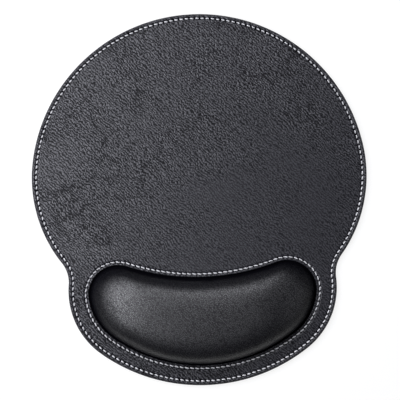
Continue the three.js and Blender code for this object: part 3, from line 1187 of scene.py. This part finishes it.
# %% Cushion core
def cushion_core():
    """The block of foam that fills the cover."""
    bm = bmesh.new()
    top = cushion_top - COVER_THICKNESS - CLEARANCE - SWELL_CAP
    rows = [dome_row(CORE_INSET, foam_top, top, share) for share in dome_shares()]
    loops = add_rows(bm, cushion, CUSHION_STEP, rows)
    fill(bm, loops[0])
    fill(bm, loops[-1])
    return finish_piece(bm, "cushion_foam_core", memory_foam)


core = cushion_core()

# %% [markdown]
# ## The threads
#
# Sewing thread is three plies twisted together. A curve follows the seam, each stitch slants a little
# across it, and at each needle hole the curve dives below the floor of the pit, so that one stitch is
# clearly apart from the next. A small section with three lobes, turned steadily along the curve,
# draws the plies with far fewer faces than three wound tubes. There are more than three hundred
# stitches, and each has only ninety faces. The bobbin thread runs nearly level in its groove below.

# %% Section and path of a thread
PLIES = 3
POINTS_PER_PLY = 3
PLY_DEPTH = 0.16
POINTS_PER_STITCH = 10
TURNS_PER_STITCH = 1.25
SLANT = 0.3 * MM
DIVE_LENGTH = 0.55


def ply_section(name, diameter):
    """The thread's cross-section: a closed curve whose radius waves once for each ply."""
    curve = bpy.data.curves.new(name, "CURVE")
    spline = curve.splines.new("POLY")
    count = PLIES * POINTS_PER_PLY
    spline.points.add(count - 1)
    for i, point in enumerate(spline.points):
        turn = 2 * math.pi * i / count
        radius = diameter / 2 * (1 - PLY_DEPTH * (1 - math.cos(PLIES * turn)))
        point.co = (radius * math.cos(turn), radius * math.sin(turn), 0, 1)
    spline.use_cyclic_u = True
    return bpy.data.objects.new(name, curve)


def thread_path(name, arcs, inset, level, dive, shows):
    """A closed curve along a seam that dives after its shown share on each side of a stitch."""
    length = 2 * half_length(arcs, inset)
    count = stitch_count(arcs, inset) * POINTS_PER_STITCH
    curve = bpy.data.curves.new(name, "CURVE")
    curve.dimensions = "3D"
    curve.twist_mode = "Z_UP"
    spline = curve.splines.new("POLY")
    spline.points.add(count - 1)
    for i, point in enumerate(spline.points):
        side = 2 * (i / POINTS_PER_STITCH % 1) - 1
        place, normal = point_along(arcs, inset, i / count * length)
        place = place - normal * SLANT * side
        gone = eased((abs(side) - shows) / DIVE_LENGTH + 1 / 2)
        point.co = (place.x, place.y, level - dive * gone, 1)
        point.tilt = 2 * math.pi * TURNS_PER_STITCH * i / POINTS_PER_STITCH
    spline.use_cyclic_u = True
    return curve


def thread(name, arcs, inset, diameter, level, dive, shows=1.0):
    """One long thread along a seam. Dive is positive downwards, and negative upwards."""
    curve = thread_path(name, arcs, inset, level, dive, shows)
    section = ply_section(name + "_section", diameter)
    curve.bevel_mode = "OBJECT"
    curve.bevel_object = section
    drawn = bpy.data.objects.new(name + "_curve", curve)
    bpy.context.scene.collection.objects.link(drawn)
    depsgraph = bpy.context.evaluated_depsgraph_get()
    mesh = bpy.data.meshes.new_from_object(drawn.evaluated_get(depsgraph))
    bpy.data.objects.remove(drawn)
    bpy.data.objects.remove(section)
    bm = bmesh.new()
    bm.from_mesh(mesh)
    bpy.data.meshes.remove(mesh)
    return finish_piece(bm, name, polyester_thread)


# %% Four threads
NEEDLE_THREAD = 0.95 * MM
NEEDLE_DIVE = 2.4 * MM
EDGE_SHOWS, CUSHION_SHOWS = 0.55, 0.66
BOBBIN_THREAD = 0.5 * MM
BOBBIN_CLEARANCE = 0.05 * MM
BOBBIN_RISE = 0.25 * MM

needle = {"diameter": NEEDLE_THREAD, "level": leather_top, "dive": NEEDLE_DIVE}
edge_bobbin_level = BOBBIN_THREAD / 2 + BOBBIN_CLEARANCE
cushion_bobbin_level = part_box("cushion_bobbin_thread")[1].z - BOBBIN_THREAD / 2
threads = {
    "edge_needle_thread": thread(
        "edge_seam_needle_thread", pad, EDGE_SEAM, shows=EDGE_SHOWS, **needle
    ),
    "cushion_needle_thread": thread(
        "cushion_seam_needle_thread", cushion, CUSHION_SEAM, shows=CUSHION_SHOWS, **needle
    ),
    "edge_bobbin_thread": thread(
        "edge_seam_bobbin_thread", pad, EDGE_SEAM, BOBBIN_THREAD, edge_bobbin_level, -BOBBIN_RISE
    ),
    "cushion_bobbin_thread": thread(
        "cushion_seam_bobbin_thread", cushion, CUSHION_SEAM, BOBBIN_THREAD, cushion_bobbin_level, 0
    ),
}

# %% [markdown]
# ## Into the frame
#
# Each piece stands for one imported node, hides that node and rides on the one body.

# %% Ride, replace and finish
pieces = {
    "base_sheet": (rubber_base, "base_rubber"),
    "foam_sheet": (pad_foam, "sheet_foam"),
    "top_skin": (skin, "pad_leather"),
    "edge_paint": (paint_bead, "edge_paint"),
    "cushion_cover": (cover, "cushion_leather"),
    "cushion_core": (core, "cushion_foam"),
    **{node: (piece, "thread") for node, piece in threads.items()},
}
for node, (piece, slot) in pieces.items():
    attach(piece, "root")
    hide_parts(node)
